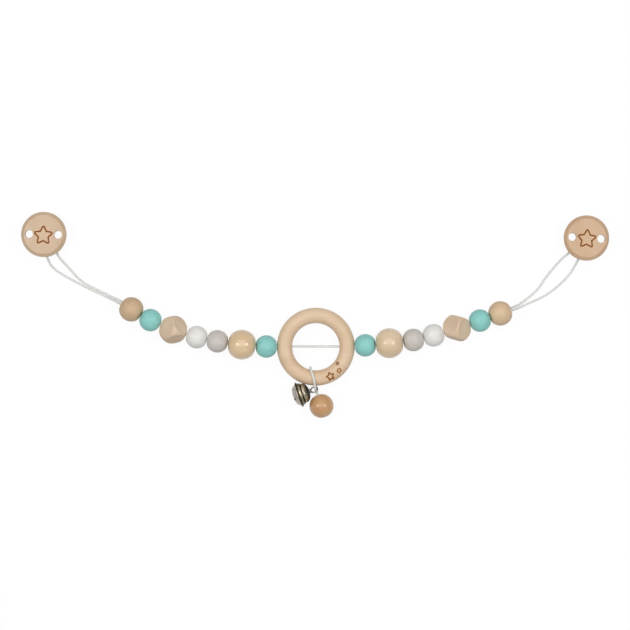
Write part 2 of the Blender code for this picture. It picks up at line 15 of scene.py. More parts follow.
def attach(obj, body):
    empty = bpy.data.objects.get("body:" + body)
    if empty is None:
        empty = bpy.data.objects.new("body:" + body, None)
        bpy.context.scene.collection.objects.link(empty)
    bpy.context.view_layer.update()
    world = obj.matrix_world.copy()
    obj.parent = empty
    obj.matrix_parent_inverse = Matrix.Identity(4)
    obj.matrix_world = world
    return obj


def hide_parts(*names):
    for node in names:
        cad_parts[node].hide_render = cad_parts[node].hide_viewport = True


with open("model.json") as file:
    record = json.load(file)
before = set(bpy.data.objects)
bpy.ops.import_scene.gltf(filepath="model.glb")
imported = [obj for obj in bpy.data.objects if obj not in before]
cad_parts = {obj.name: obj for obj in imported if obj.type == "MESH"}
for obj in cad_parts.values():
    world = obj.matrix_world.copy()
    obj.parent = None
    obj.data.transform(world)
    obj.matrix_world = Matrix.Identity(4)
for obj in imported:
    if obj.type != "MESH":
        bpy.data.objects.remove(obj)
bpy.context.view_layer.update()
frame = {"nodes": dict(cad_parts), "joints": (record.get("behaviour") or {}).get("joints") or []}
JOINTS = {joint["name"]: joint for joint in frame["joints"]}

MM = 0.001
# The row's origin, from the ring's centre.
X_MID = -0.55
Y_MID = 25.33

CORD_R = 0.9
CORD_STEP = 0.7
# How far the two strands of a loop lie from the middle of the end bead's mouth.
STRAND_OFF = 1.08
# The elastic is thinner where it is pulled tight in a knot.
KNOT_THIN = 0.95
END_KNOT = 5.2
PEND_KNOT = 5.6
KNOT_GAP = 0.4

BORE_R = 1.5
# A bead's ball runs into a shallow cone at this angle from its bore, down to the lip at FLAT_R.
CONE = 30.0
FLAT_R = 1.9
LIP = 0.35
EASE = 1.6
RECESS_R = 3.3
RECESS_DEEP = 6.6

# radius, length along the bore
BEADS = {
    "mint": (9.0, 16.25),
    "grey": (9.0, 16.25),
    "white": (9.0, 16.25),
    "large": (12.0, 21.75),
    "facet": (11.45, 21.8),
    "end": (9.75, 17.8),
}
KINDS = ("mint", "large", "grey", "white", "facet", "mint", "end")
# The seen beads are longer or shorter than their solids by this: they almost touch and still bend.
LONGER = {"left": 0.26, "right": -0.07}
FACET_LONGER = {"left": -0.1, "right": -0.14}
# How far the flats are from the bead's centre, and how they are turned off its bore and about it.
FACET_FLAT = 8.45
FACET_LEAN = 10.0
FACET_ROLLS = {"right": 173.0, "left": 85.0}
SOFT_EDGE = 0.14

RING_R = 24.95
RING_WIDE = 12.3
RING_THICK = 11.0
RING_Z = 9.0
RING_SAG = 0.5
BORE_Y = 0.25
# x, y, size, turn, width of line
RING_STARS = (
    (11.6, -23.6, 3.55, 41, 1.3),
    (18.6, -18.9, 2.1, 63, 0.85),
    (17.2, -13.2, 1.35, 30, 0.85),
)
RING_STAR_DEEP = 0.28

DISC_BACK = 10.0
DISC_TOP = 18.0
# The disc's face falls by this times the square of the distance from its middle.
DISC_DOME = 0.0022
VENT_R = 3.2
VENT_AT = 11.5
# The domed face falls this much per millimetre outwards at a vent hole.
VENT_SLOPE = 0.072
SCREW_AT = 4.2
# The clips' middles, the directions of their cord slots, the directions from which the elastic
# comes to their bars, and half the distance between its strands there.
CLIPS = {"left": (-216.6, 89.4), "right": (215.5, 86.6)}
DOWNS = {"left": -91.6, "right": -93.7}
EXITS = {"left": -70.0, "right": -124.0}
HALVES = {"left": 4.4, "right": 4.8}
# How far the bar and the slot's outer edge are from the clip's middle.
BAR_AT = 15.0
SLOT_AT = 17.6

STAR_R = 7.2
STAR_DROP = 0.9
STAR_LINE = 1.5
STAR_DEEP = 0.45
# The wood is scorched this many times as wide as the groove.
BURN_WIDE = 1.9

PEND_R = 9.7
PEND_LEN = 17.4
PEND_TURN = 109.7
PEND_BEAD = (4.5, -47.2)
PEND_BORE_R = 2.3
PEND_RECESS = 7.0
# The pendant's seen bead is left a full ball, so it is longer than its solid and its recess deeper.
PEND_LONGER = 1.1
PEND_SEEN_RECESS = 7.6

BELL_TURN = 18.5
BELL_R = 8.75
BELL_WALL = 0.8
LOWER_WALL = 0.7
RIM_R = 10.1
# Each shell ends this far from the plane between them, in a thin rim.
RIM_HALF = 0.15
RIM = (
    (RIM_R - 0.25, -0.75),
    (RIM_R, -0.55),
    (RIM_R, -0.3),
    (RIM_R - 0.15, -RIM_HALF),
)
LOWER_DEEP = 5.0
SLIT_TURN = 19
SLIT_END_AT = 5.9
SLIT_END_R = 1.4
SLIT_NARROW = 0.64
EYE_OFF = 12.65
EYE_R = 2.8
EYE_WIRE = 0.6
PELLET_R = 2.4
PELLET_AT = (-4.2, 0, 1.2)

# The camera looks straight down. FRAME_W is how much of the table's width the picture takes in.
CAMERA_AT = (-0.65, 25.3)
CAMERA_FAR = 2200.0
CAMERA_PLANE = 14.0
FRAME_W = 501.5
SENSOR = 36.0

TABLE_GLOW = 0.85
ROOM_LIGHT = 0.36


def row(x, y, z):
    """A point given from the ring's centre, in the row's frame and in metres."""
    return Vector((x - X_MID, y - Y_MID, z)) * MM


def rgb(r, g, b):
    """A colour as the photo holds it, 0 to 255, in linear light."""

    def linear(c):
        c /= 255
        return c / 12.92 if c <= 0.04045 else ((c + 0.055) / 1.055) ** 2.4

    return (linear(r), linear(g), linear(b), 1.0)


def scaled(colour, share):
    """A colour, darker or lighter."""
    return tuple(min(1.0, c * share) for c in colour[:3]) + (1.0,)


# Node helpers


def new_material(name):
    made = bpy.data.materials.new(f"{name}_finish")
    made.use_nodes = True
    return made, made.node_tree.nodes, made.node_tree.links


def put(nodes, kind, **values):
    """A node, with its properties or its sockets set by name."""
    node = nodes.new(kind)
    for key, value in values.items():
        if hasattr(node, key):
            setattr(node, key, value)
        else:
            node.inputs[key.replace("_", " ")].default_value = value
    return node


def feed(links, sockets, values):
    """Gives each socket its number or colour, or links it."""
    for socket, value in zip(sockets, values):
        if isinstance(value, (tuple, float)):
            socket.default_value = value
        else:
            links.new(value, socket)


def maths(nodes, links, operation, *values):
    node = put(nodes, "ShaderNodeMath", operation=operation)
    feed(links, node.inputs, values)
    return node.outputs["Value"]


def noise_at(nodes, links, source, scale, stretch, detail, rough, shift):
    """Noise on coordinates, which may be stretched along one axis as grain is."""
    where = put(nodes, "ShaderNodeMapping")
    where.inputs["Scale"].default_value = stretch
    where.inputs["Location"].default_value = (shift, shift * 0.7, shift * 0.3)
    links.new(source, where.inputs["Vector"])
    noise = put(nodes, "ShaderNodeTexNoise", Scale=scale, Detail=detail, Roughness=rough)
    links.new(where.outputs["Vector"], noise.inputs["Vector"])
    return noise.outputs["Fac"]


def mapped(nodes, links, value, low, high, to_low, to_high):
    """A value that runs from low to high, brought to run from to_low to to_high and no further."""
    node = put(nodes, "ShaderNodeMapRange")
    feed(links, node.inputs, (value, low, high, to_low, to_high))
    return node.outputs["Result"]


def mixed(nodes, links, share, one, two):
    """A colour that is one at a share of 0 and two at 1."""
    node = put(nodes, "ShaderNodeMix", data_type="RGBA")
    feed(links, (node.inputs["Factor"], node.inputs[6], node.inputs[7]), (share, one, two))
    return node.outputs[2]


def bumped(nodes, links, height, strength, distance, under=None):
    """The normal over a fine relief, which may lie on another."""
    node = put(nodes, "ShaderNodeBump", Strength=strength, Distance=distance * MM)
    links.new(height, node.inputs["Height"])
    if under:
        links.new(under, node.inputs["Normal"])
    return node.outputs["Normal"]


# Materials


def wood(name, light, dark, rough, coat=0.0, shift=0.0, along=2, burn=False, grain=1.0):
    """Close-grained pale wood. The grain runs along one of the object's own axes, and burnt lines
    follow the mesh's burn attribute."""
    made, nodes, links = new_material(name)
    shader = nodes["Principled BSDF"]
    here = put(nodes, "ShaderNodeTexCoord").outputs["Object"]

    def run(across, length):
        stretch = [across, across, across]
        stretch[along] = length
        return tuple(stretch)

    broad = noise_at(nodes, links, here, 1.0, run(150, 22), 3.0, 0.5, shift)
    fibre = noise_at(nodes, links, here, 1.0, run(1500, 70), 5.0, 0.6, shift + 3)
    fleck = noise_at(nodes, links, here, 1.0, run(2600, 420), 2.0, 0.5, shift + 7)
    tone = mixed(nodes, links, mapped(nodes, links, broad, 0.3, 0.7, 0.0, 1.0), light, dark)
    fibres = mapped(nodes, links, fibre, 0.45, 0.8, 0.0, 0.42 * grain)
    tone = mixed(nodes, links, fibres, tone, scaled(dark, 0.80))
    flecks = mapped(nodes, links, fleck, 0.66, 0.8, 0.0, 0.4 * grain)
    tone = mixed(nodes, links, flecks, tone, scaled(dark, 0.62))
    if burn:
        burnt = put(nodes, "ShaderNodeAttribute", attribute_name="burn").outputs["Fac"]
        char = noise_at(nodes, links, here, 1.0, (1200, 1200, 1200), 3.0, 0.6, 1.0)
        brown = mixed(nodes, links, char, rgb(74, 38, 6), rgb(134, 78, 20))
        # A scorched, more orange edge lies along the burnt line.
        scorch = mapped(nodes, links, burnt, 0.0, 0.45, 0.0, 0.6)
        tone = mixed(nodes, links, scorch, tone, rgb(229, 160, 96))
        tone = mixed(nodes, links, mapped(nodes, links, burnt, 0.54, 0.8, 0.0, 1.0), tone, brown)
    links.new(tone, shader.inputs["Base Color"])
    dull = mapped(nodes, links, fibre, 0.3, 0.8, rough - 0.05, rough + 0.09)
    links.new(dull, shader.inputs["Roughness"])
    shader.inputs["Coat Weight"].default_value = coat
    shader.inputs["Coat Roughness"].default_value = 0.12
    shader.inputs["Specular IOR Level"].default_value = 0.42
    links.new(bumped(nodes, links, fibre, 0.16, 0.06), shader.inputs["Normal"])
    return made


def paint(name, colour, shift):
    """Thin satin water paint on wood, with the grain just showing through."""
    made, nodes, links = new_material(name)
    shader = nodes["Principled BSDF"]
    here = put(nodes, "ShaderNodeTexCoord").outputs["Object"]
    fibre = noise_at(nodes, links, here, 1.0, (1100, 1100, 80), 5.0, 0.6, shift)
    cloud = noise_at(nodes, links, here, 260.0, (1, 1, 1), 3.0, 0.5, shift)
    peel = noise_at(nodes, links, here, 1700.0, (1, 1, 1), 2.0, 0.5, shift)
    deep = scaled(colour, 0.94)
    pale = scaled(colour, 1.035)
    tone = mixed(nodes, links, mapped(nodes, links, cloud, 0.35, 0.65, 0.0, 1.0), deep, pale)
    tone = mixed(nodes, links, mapped(nodes, links, fibre, 0.55, 0.85, 0.0, 0.25), tone, deep)
    links.new(tone, shader.inputs["Base Color"])
    links.new(mapped(nodes, links, cloud, 0.3, 0.7, 0.40, 0.52), shader.inputs["Roughness"])
    shader.inputs["Specular IOR Level"].default_value = 0.4
    grain = bumped(nodes, links, fibre, 0.10, 0.05)
    links.new(bumped(nodes, links, peel, 0.10, 0.03, grain), shader.inputs["Normal"])
    return made


def metal(name, colour, rough, scratch=0.25, worn=0.82, brushed=0.0, highlight_crests=(), shade_inside=None):
    """Bright plated metal with fine handling marks. A spun one is tarnished except on its crests,
    which are given as height and half width; its dark tarnish also stands in as painted dark
    reflection, and its bright crests carry a painted highlight. With shade_inside it gets painted
    shade within these half sizes."""
    made, nodes, links = new_material(name)
    shader = nodes["Principled BSDF"]
    here = put(nodes, "ShaderNodeTexCoord").outputs["Object"]
    marks = noise_at(nodes, links, here, 1.0, (2600, 340, 900), 4.0, 0.65, 2.0)
    cloud = noise_at(nodes, links, here, 190.0 if brushed else 320.0, (1, 1, 1), 3.0, 0.5, 5.0)
    patches = mapped(nodes, links, cloud, 0.35, 0.7, 0.0, 1.0)
    tone = mixed(nodes, links, patches, colour, scaled(colour, worn))
    if highlight_crests:
        parts = put(nodes, "ShaderNodeSeparateXYZ")
        links.new(here, parts.inputs["Vector"])
        crest_sheen = None
        for height, wide in highlight_crests:
            off = maths(nodes, links, "SUBTRACT", parts.outputs["Z"], height * MM)
            away = maths(nodes, links, "ABSOLUTE", off)
            band = mapped(nodes, links, away, 0.3 * wide * MM, wide * MM, 1.0, 0.0)
            crest_sheen = maths(nodes, links, "MAXIMUM", crest_sheen, band) if crest_sheen else band
        # Partly tarnish and polish, partly painted light: off the crest bands the shell is nearly
        # black, a painted dark reflection, and on them it is bright, a painted highlight where the
        # lamps' streaks fall.
        tone = mixed(nodes, links, crest_sheen, scaled(colour, 0.1), tone)
    if shade_inside:
        # Painted shade: the inside of a bell is made dull and nearly black, where little light gets
        # in.
        share = put(nodes, "ShaderNodeVectorMath", operation="DIVIDE")
        share.inputs[1].default_value = tuple(c * MM for c in shade_inside)
        links.new(here, share.inputs[0])
        far = put(nodes, "ShaderNodeVectorMath", operation="LENGTH")
        links.new(share.outputs["Vector"], far.inputs[0])
        outside = mapped(nodes, links, far.outputs["Value"], 0.955, 0.985, 0.0, 1.0)
        tone = mixed(nodes, links, outside, rgb(34, 29, 24), tone)
    links.new(tone, shader.inputs["Base Color"])
    shader.inputs["Metallic"].default_value = 1.0
    shader.inputs["Anisotropic"].default_value = brushed
    if brushed:
        turned = put(nodes, "ShaderNodeTangent", direction_type="RADIAL", axis="Z")
        links.new(turned.outputs["Tangent"], shader.inputs["Tangent"])
    dull = mapped(nodes, links, marks, 0.3, 0.8, rough - 0.04, rough + 0.12)
    links.new(dull, shader.inputs["Roughness"])
    links.new(bumped(nodes, links, marks, scratch, 0.02), shader.inputs["Normal"])
    return made


def plastic(name, colour):
    """Milky moulded plastic with a fine matt grain."""
    made, nodes, links = new_material(name)
    shader = nodes["Principled BSDF"]
    here = put(nodes, "ShaderNodeTexCoord").outputs["Object"]
    grain = noise_at(nodes, links, here, 2400.0, (1, 1, 1), 3.0, 0.55, 0.0)
    cloud = noise_at(nodes, links, here, 300.0, (1, 1, 1), 2.0, 0.5, 0.0)
    links.new(mixed(nodes, links, cloud, colour, scaled(colour, 0.9)), shader.inputs["Base Color"])
    links.new(mapped(nodes, links, grain, 0.3, 0.7, 0.42, 0.58), shader.inputs["Roughness"])
    shader.inputs["Subsurface Weight"].default_value = 0.15
    shader.inputs["Subsurface Scale"].default_value = 0.001
    links.new(bumped(nodes, links, grain, 0.2, 0.03), shader.inputs["Normal"])
    return made


def elastic(name):
    """Round braided elastic, whose braid follows the tube's own coordinates."""
    made, nodes, links = new_material(name)
    shader = nodes["Principled BSDF"]
    coords = put(nodes, "ShaderNodeTexCoord")
    pale, shade = rgb(233, 234, 230), rgb(214, 216, 212)
    parts = put(nodes, "ShaderNodeSeparateXYZ")
    links.new(coords.outputs["UV"], parts.inputs["Vector"])
    slants = []
    for way in (1, -1):
        # Eight carriers round the cord, and one crossing each 0.9 mm along it.
        turn = maths(nodes, links, "MULTIPLY", parts.outputs["X"], 2 * pi * 4 * way)
        along = maths(nodes, links, "MULTIPLY_ADD", parts.outputs["Y"], 2 * pi / 1.8, turn)
        slants.append(maths(nodes, links, "SINE", along))
    height = mapped(nodes, links, maths(nodes, links, "MULTIPLY", *slants), -1.0, 1.0, 0.0, 1.0)
    # Painted shade: the braid's colour is darker where it lies low, in the grooves between its
    # strands.
    links.new(mixed(nodes, links, height, shade, pale), shader.inputs["Base Color"])
    shader.inputs["Roughness"].default_value = 0.72
    shader.inputs["Sheen Weight"].default_value = 0.3
    fibre = noise_at(nodes, links, coords.outputs["Object"], 5200.0, (1, 1, 1), 2.0, 0.6, 0.0)
    rough = bumped(nodes, links, fibre, 0.25, 0.03)
    links.new(bumped(nodes, links, height, 0.3, 0.12, rough), shader.inputs["Normal"])
    return made


MINT = paint("mint_paint", rgb(140, 205, 199), 0.0)
GREY = paint("grey_paint", rgb(202, 196, 189), 2.0)
WHITE = paint("white_paint", rgb(231, 230, 225), 4.0)
PALE = wood("glossy_pale_wood", rgb(228, 205, 172), rgb(216, 189, 154), 0.32, 0.7, 1.0)
LEFT_PALE = wood("left_pale_wood", rgb(225, 197, 156), rgb(213, 182, 140), 0.3, 1.0, 1.0)
BARE = wood("bare_wood", rgb(223, 200, 173), rgb(211, 184, 155), 0.52, 0.0, 2.0)
ENDS = wood("end_wood", rgb(222, 195, 159), rgb(209, 179, 145), 0.5, 0.0, 5.0)
LEFT_END = wood("left_end_wood", rgb(208, 179, 144), rgb(197, 168, 133), 0.5, 0.0, 5.0)
WARM = wood("glossy_warm_wood", rgb(209, 163, 117), rgb(194, 145, 99), 0.28, 0.45, 8.0)
RING_WOOD = wood("ring_wood", rgb(225, 197, 166), rgb(214, 184, 151), 0.42, 0.12, 6.0, 0, True, 0.7)
DISC_WOODS = {
    side: wood(name, light, dark, 0.4, 0.15, 4.0, 0, True, 0.5)
    for side, name, light, dark in (
        ("left", "disc_wood", rgb(208, 181, 151), rgb(199, 170, 138)),
        ("right", "right_disc_wood", rgb(207, 174, 141), rgb(198, 163, 128)),
    )
}
STEEL = metal("plated_steel", rgb(205, 206, 208), 0.24)
# The heights and half widths of the bell's two bright tiers: polished crests that carry a painted
# highlight, while off them the shell gets a painted dark reflection.
SHEEN_TIERS = ((1.8, 1.3), (4.9, 2.2))
# The upper shell gets painted shade inside a ball of its own radius.
BELL = metal("bell_plate", rgb(200, 188, 160), 0.24, 0.1, 0.3, 0.85, SHEEN_TIERS, (BELL_R,) * 3)
# The half sizes within which the lower shell's inside gets painted shade.
UNDER_SHADE_INSIDE = (BELL_R, BELL_R, LOWER_DEEP)
BELL_UNDER = metal("bell_underside", rgb(176, 169, 160), 0.2, 0.15, 0.8, shade_inside=UNDER_SHADE_INSIDE)
WIRE = metal("bell_wire", rgb(150, 145, 138), 0.2)
INSERT = plastic("milky_plastic", rgb(232, 232, 226))
BRAID = elastic("braided_elastic")


# Shapes


def frame_of(origin, forward, up=(0, 0, 1), spin=0.0):
    """A frame at a point of the row, in metres, with its Z along forward."""
    z = Vector(forward).normalized()
    x = (Vector(up) - Vector(up).dot(z) * z).normalized()
    turn = Matrix((x, z.cross(x), z)).transposed().to_4x4()
    return Matrix.Translation(Vector(origin)) @ turn @ Matrix.Rotation(radians(spin), 4, "Z")


def joint_frame(name, spin=0.0):
    return frame_of(JOINTS[name]["pos_m"], JOINTS[name]["axis"], spin=spin)


def finish_shape(name, shape, matrix, look=None, body=None, nodes=()):
    """Makes a piece of a shape in millimetres, which rides on a body and stands for CAD nodes."""
    bmesh.ops.recalc_face_normals(shape, faces=shape.faces)
    mesh = bpy.data.meshes.new(name)
    for corner in shape.verts:
        corner.co *= MM
    shape.to_mesh(mesh)
    shape.free()
    thing = bpy.data.objects.new(name, mesh)
    bpy.context.scene.collection.objects.link(thing)
    thing.matrix_world = matrix
    mesh.polygons.foreach_set("use_smooth", [True] * len(mesh.polygons))
    if look:
        mesh.materials.append(look)
    if body:
        bpy.context.view_layer.update()
        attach(thing, body)
    if nodes:
        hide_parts(*nodes)
    return thing


def shifted(x, y, z):
    """A move by millimetres."""
    return Matrix.Translation(Vector((x, y, z)) * MM)


def crease(thing, angle):
    """Smooth shading, but not over edges sharper than an angle."""
    mesh = thing.data
    mesh.polygons.foreach_set("use_smooth", [True] * len(mesh.polygons))
    mesh.set_sharp_from_angle(angle=radians(angle))


def turned_shape(profile, segments, closed):
    """A profile of (distance from Z, z), turned round Z."""
    shape = bmesh.new()
    rows = []
    for far, z in profile:
        if far < 1e-6:
            rows.append([shape.verts.new((0, 0, z))])
            continue
        angles = [2 * pi * step / segments for step in range(segments)]
        rows.append([shape.verts.new((far * cos(a), far * sin(a), z)) for a in angles])
    pairs = list(zip(rows, rows[1:]))
    if closed:
        pairs.append((rows[-1], rows[0]))
    for one, two in pairs:
        for step in range(segments):
            after = (step + 1) % segments
            if len(one) == 1:
                shape.faces.new((one[0], two[step], two[after]))
            elif len(two) == 1:
                shape.faces.new((one[after], one[step], two[0]))
            else:
                shape.faces.new((one[step], one[after], two[after], two[step]))
    return shape


def rounded(points, radius, steps=4):
    """A profile with its corners rounded. Each point may carry its own radius as a third number."""
    found = []
    for i, point in enumerate(points):
        here = Vector(point[:2])
        r = point[2] if len(point) > 2 else radius
        if i in (0, len(points) - 1) or r <= 0:
            found.append(tuple(here))
            continue
        before = Vector(points[i - 1][:2])
        after = Vector(points[i + 1][:2])
        r = min(r, (before - here).length * 0.45, (after - here).length * 0.45)
        one = here + (before - here).normalized() * r
        two = here + (after - here).normalized() * r
        for k in range(steps + 1):
            t = k / steps
            found.append(tuple(one * (1 - t) ** 2 + here * 2 * t * (1 - t) + two * t**2))
    return found


def cut(target, shape, matrix):
    """Cuts a shape from a piece."""
    cutter = finish_shape("cutter", shape, matrix)
    step = target.modifiers.new("cut", "BOOLEAN")
    step.operation = "DIFFERENCE"
    step.solver = "EXACT"
    step.object = cutter
    bpy.context.view_layer.update()
    graph = bpy.context.evaluated_depsgraph_get()
    result = bpy.data.meshes.new_from_object(target.evaluated_get(graph), depsgraph=graph)
    target.modifiers.clear()
    target.data = result
    bpy.data.objects.remove(cutter, do_unlink=True)


def flared_rod(radius, low, high, flare, segments=40):
    """A cutter for a hole whose two lips are rounded where they meet faces at low and high."""
    flange = radius + flare + 0.6
    past = 3
    profile = [(0, low - past), (flange, low - past), (flange, low)]
    for k in range(6):
        a = pi / 2 * k / 5
        profile.append((radius + flare * (1 - sin(a)), low + flare * (1 - cos(a))))
    for k in range(6):
        a = pi / 2 * (1 - k / 5)
        profile.append((radius + flare * (1 - sin(a)), high - flare * (1 - cos(a))))
    profile += [(flange, high), (flange, high + past), (0, high + past)]
    return turned_shape(profile, segments, False)


def bead_profile(radius, length, rows=30, bore=BORE_R, flat=FLAT_R, recess=None, neck=None):
    """Half the section of a ball whose ends are worn down to shallow cones, with soft lips at the
    bore. A recess is a radius and a depth at its upper end, and a neck the radius of its mouth."""
    half = length / 2
    edge = radians(CONE)
    far, low = radius * sin(edge), radius * cos(edge)
    wide = recess[0] if recess else bore
    mouth = neck or wide
    lip = mouth + LIP if recess else flat
    top = half + (low - half) * (lip - flat) / (far - flat)
    outer = [(lip, top)]
    for step in range(rows + 1):
        a = edge + (pi - 2 * edge) * step / rows
        outer.append((radius * sin(a), radius * cos(a)))
    outer.append((flat, -half))
    inner = []
    for k in range(1, 5):
        a = pi / 2 * k / 4
        inner.append((bore + (flat - bore) * (1 - sin(a)), -half + LIP * (1 - cos(a))))
    if recess:
        floor = half - recess[1]
        inner += [(bore, floor), (wide, floor)]
    upper = [(wide, top - 2.2), (neck, top - 1.2)] if neck else []
    for k in range(4, 0, -1):
        a = pi / 2 * k / 4
        upper.append((mouth + (lip - mouth) * (1 - sin(a)), top - LIP * (1 - cos(a))))
    return eased(outer, EASE) + inner + upper


def eased(outer, reach):
    """Rounds the two corners where a bead's ball meets its cones, as far as reach on each side."""
    count = len(outer)
    corners = [(*point, 0.0) for point in outer]
    for k in (1, count - 2):
        corners[k] = (*outer[k], reach)
    near = [corners[0], corners[1]]
    for point in corners[2:-2]:
        gaps = [(Vector(point[:2]) - Vector(outer[k])).length for k in (1, count - 2)]
        if min(gaps) > reach * 1.1:
            near.append(point)
    near += corners[-2:]
    return rounded(near, 0.0, 6)


def bead(name, kind, side, number, look):
    """A round bead. Each is turned differently about its bore, so that no two grains match."""
    radius, length = BEADS[kind]
    length += LONGER[side]
    recess = (RECESS_R, RECESS_DEEP) if kind == "end" else None
    shape = turned_shape(bead_profile(radius, length, recess=recess), 72, True)
    body = f"{side}_bead_{number}"
    matrix = joint_frame(f"{body}_spin", spin=57 * number + (20 if side == "left" else 0))
    return finish_shape(name, shape, matrix, look, body, (name.removeprefix("look_"),))


def facet_bead(name, side, number):
    """A round bead with six flats, like a cube's faces, drilled about from corner to corner."""
    radius, length = BEADS["facet"]
    length += FACET_LONGER[side]
    shape = turned_shape(bead_profile(radius, length, rows=60), 120, True)
    tilt = acos(1 / sqrt(3))
    turn = 90 if side == "right" else -90
    lean = Matrix.Rotation(radians(-FACET_LEAN), 3, "Y")
    for end in (1, -1):
        for k in range(3):
            a = radians(FACET_ROLLS[side] + 120 * k + turn + (180 if end < 0 else 0))
            normal = Vector((sin(tilt) * cos(a), sin(tilt) * sin(a), end * cos(tilt)))
            normal.rotate(lean)
            cut_here = bmesh.ops.bisect_plane(
                shape,
                geom=shape.verts[:] + shape.edges[:] + shape.faces[:],
                plane_co=normal * FACET_FLAT,
                plane_no=normal,
                clear_outer=True,
            )
            edges = [e for e in cut_here["geom_cut"] if isinstance(e, bmesh.types.BMEdge)]
            bmesh.ops.contextual_create(shape, geom=edges)
    body = f"{side}_bead_{number}"
    matrix = joint_frame(f"{body}_spin")
    made = finish_shape(name, shape, matrix, BARE, body, (name.removeprefix("look_"),))
    soften(made, 20)


def soften(thing, angle):
    """Rounds a piece's sharp edges a little and keeps its flats flat in the light."""
    edge = thing.modifiers.new("edges", "BEVEL")
    edge.width = SOFT_EDGE * MM
    edge.segments = 2
    edge.limit_method = "ANGLE"
    edge.angle_limit = radians(angle)
    normals = thing.modifiers.new("normals", "WEIGHTED_NORMAL")
    normals.keep_sharp = True
    normals.weight = 80


def smooth_line(points, step):
    """Points about step apart along a curve that runs through the given points."""
    known = [Vector(p) for p in points]
    known = [2 * known[0] - known[1]] + known + [2 * known[-1] - known[-2]]
    fine = []
    for i in range(1, len(known) - 2):
        a, b, c, d = known[i - 1 : i + 3]
        ta = (b - a).length ** 0.5
        tb = (c - b).length ** 0.5
        tc = (d - c).length ** 0.5
        first = (b - a) / ta - (c - a) / (ta + tb) + (c - b) / tb
        last = (c - b) / tb - (d - b) / (tb + tc) + (d - c) / tc
        first *= tb
        last *= tb
        for k in range(24):
            t = k / 24
            fine.append(
                (2 * t**3 - 3 * t**2 + 1) * b
                + (t**3 - 2 * t**2 + t) * first
                + (3 * t**2 - 2 * t**3) * c
                + (t**3 - t**2) * last
            )
    fine.append(known[-2])
    along = [0.0]
    for one, two in zip(fine, fine[1:]):
        along.append(along[-1] + (two - one).length)
    count = max(2, round(along[-1] / step))
    found = []
    at = 0
    for k in range(count + 1):
        want = along[-1] * k / count
        while at < len(along) - 2 and along[at + 1] < want:
            at += 1
        share = (want - along[at]) / (along[at + 1] - along[at])
        found.append(fine[at].lerp(fine[at + 1], share))
    return found


def tube_shape(line, radius, sides=14, closed=False):
    """A tube along a line, with how far round and how far along it, in millimetres, as its UV."""
    tangents = []
    count = len(line)
    for i in range(count):
        before = line[(i - 1) % count] if closed else line[max(i - 1, 0)]
        after = line[(i + 1) % count] if closed else line[min(i + 1, count - 1)]
        tangents.append((after - before).normalized())
    side = tangents[0].orthogonal().normalized()
    shape = bmesh.new()
    rings = []
    lengths = [0.0]
    for i, (at, way) in enumerate(zip(line, tangents)):
        side = (side - side.dot(way) * way).normalized()
        other = way.cross(side)
        ring = []
        for k in range(sides):
            a = 2 * pi * k / sides
            ring.append(shape.verts.new(at + (side * cos(a) + other * sin(a)) * radius))
        rings.append(ring)
        if i:
            lengths.append(lengths[-1] + (at - line[i - 1]).length)
    uv = shape.loops.layers.uv.new("UVMap")
    for i in range(count if closed else count - 1):
        low, high = lengths[i], lengths[i + 1] if i + 1 < count else lengths[i]
        for k in range(sides):
            after = (k + 1) % sides
            there = rings[(i + 1) % count]
            face = shape.faces.new((rings[i][k], rings[i][after], there[after], there[k]))
            spots = ((k, low), (k + 1, low), (k + 1, high), (k, high))
            for loop, (u, v) in zip(face.loops, spots):
                loop[uv].uv = (u / sides, v)
    if not closed:
        shape.faces.new(rings[0][::-1])
        shape.faces.new(rings[-1])
    return shape


def cord_piece(node, route, body):
    """One length of the elastic as a fine tube along its route."""
    line = smooth_line(route, CORD_STEP)
    base = row(0, 0, 0)
    tube = tube_shape(line, CORD_R)
    made = finish_shape(f"look_{node}", tube, Matrix.Translation(base), BRAID, body, (node,))


# The camera comes first, because the cords are tested against its view.


def camera():
    made = bpy.data.cameras.new("camera")
    made.sensor_width = SENSOR
    made.lens = SENSOR * CAMERA_FAR / FRAME_W
    made.clip_start = 0.01
    made.clip_end = 20.0
    thing = bpy.data.objects.new("camera", made)
    bpy.context.scene.collection.objects.link(thing)
    thing.location = row(*CAMERA_AT, CAMERA_PLANE + CAMERA_FAR)
    bpy.context.scene.camera = thing


def light(name, at, size, power):
    """A soft box that faces the middle of the toy."""
    made = bpy.data.lights.new(name, "AREA")
    made.shape = "RECTANGLE"
    made.size, made.size_y = size[0] * MM, size[1] * MM
    made.energy = power
    thing = bpy.data.objects.new(name, made)
    bpy.context.scene.collection.objects.link(thing)
    thing.location = row(*at)
    aim = row(0, 20, 10) - thing.location
    thing.rotation_euler = aim.to_track_quat("-Z", "Y").to_euler()


def seen_rays(nodes, links):
    """One for what the camera sees straight, in a reflection or through glass, and else nothing."""
    path = put(nodes, "ShaderNodeLightPath")
    total = path.outputs["Is Camera Ray"]
    for kind in ("Is Glossy Ray", "Is Transmission Ray"):
        total = maths(nodes, links, "MAXIMUM", total, path.outputs[kind])
    return total


